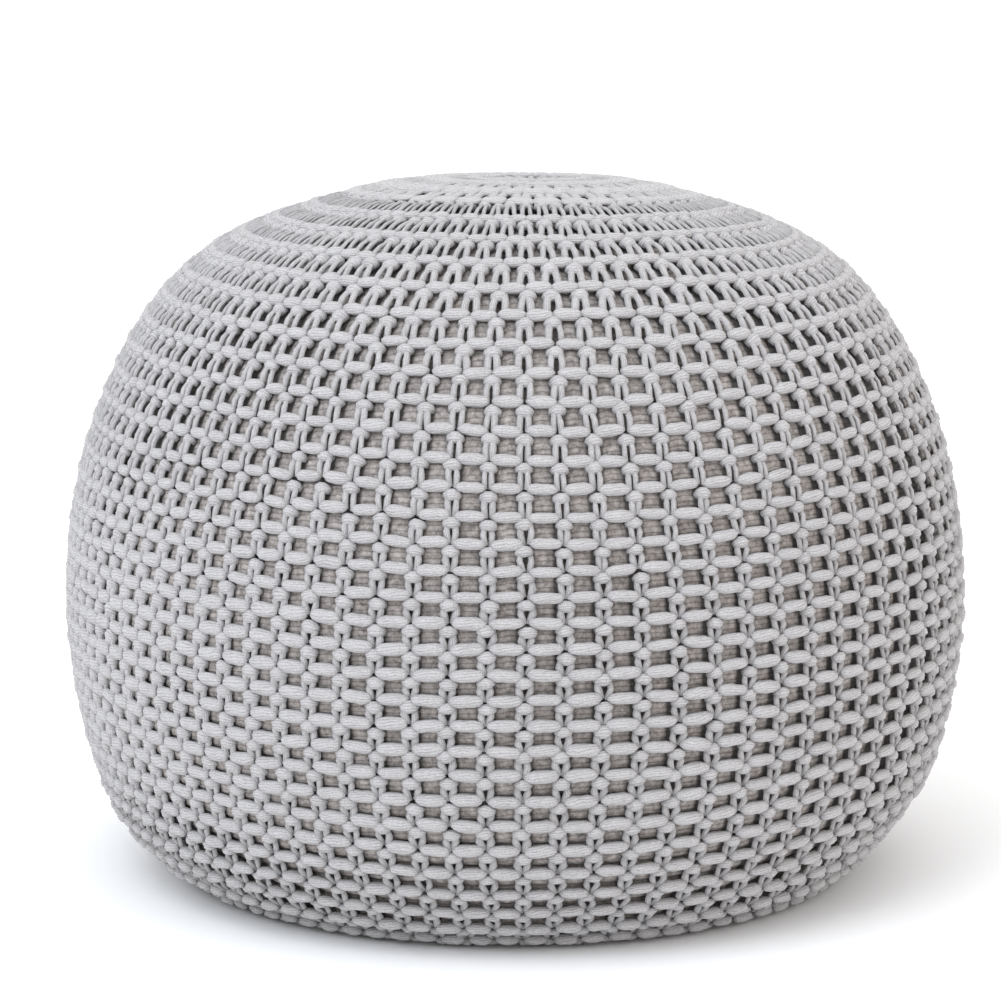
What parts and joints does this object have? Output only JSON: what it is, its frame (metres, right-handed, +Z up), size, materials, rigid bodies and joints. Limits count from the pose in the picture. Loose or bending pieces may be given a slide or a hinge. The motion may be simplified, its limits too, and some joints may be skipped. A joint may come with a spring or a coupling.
{
  "type": "knitted pouf",
  "caption": "Round filled floor pouf in a chunky ridged knit, with a flat base, full sides and a crown drawn in to a gather.",
  "frame": {"origin": "middle of the flat base, on the surface that the pouf stands on", "axes": "+Z up through the crown; -Y towards the side that the picture shows"},
  "size_m": [0.5, 0.5, 0.3872],
  "materials": {
    "cover_yarn": "matt plied cotton cord, chunky garter knit, light grey"
  },
  "bodies": {
    "root": {"pouf": "cover_yarn"}
  },
  "joints": []
}
